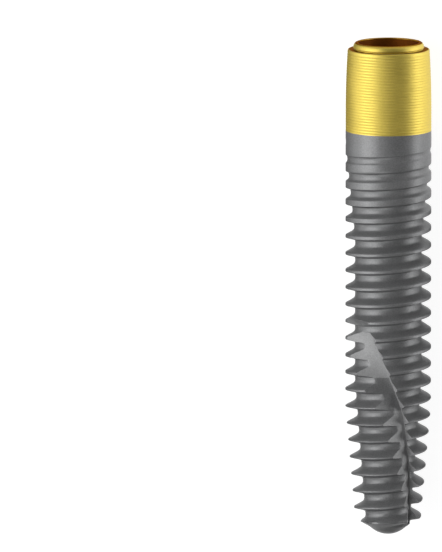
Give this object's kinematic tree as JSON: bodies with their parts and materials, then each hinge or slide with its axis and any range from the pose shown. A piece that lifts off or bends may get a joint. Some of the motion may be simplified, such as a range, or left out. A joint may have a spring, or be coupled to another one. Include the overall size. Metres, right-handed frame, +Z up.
{
  "type": "dental implant",
  "caption": "Two-stage dental implant: self-tapping titanium root screw with a gold anodised ringed neck, internal hexagon and abutment screw hole.",
  "frame": {"origin": "centre of the platform, the flat top of the rim that the abutment seats on", "axes": "+Y along the axis out of the mouth, +Z up with one cutting flute on top, for an implant lying on its side"},
  "size_m": [0.004, 0.0232, 0.004],
  "materials": {
    "titanium": "grit-blasted grey titanium, with the neck anodised gold above the bone thread"
  },
  "bodies": {
    "root": {"implant_body": "titanium"}
  },
  "joints": []
}
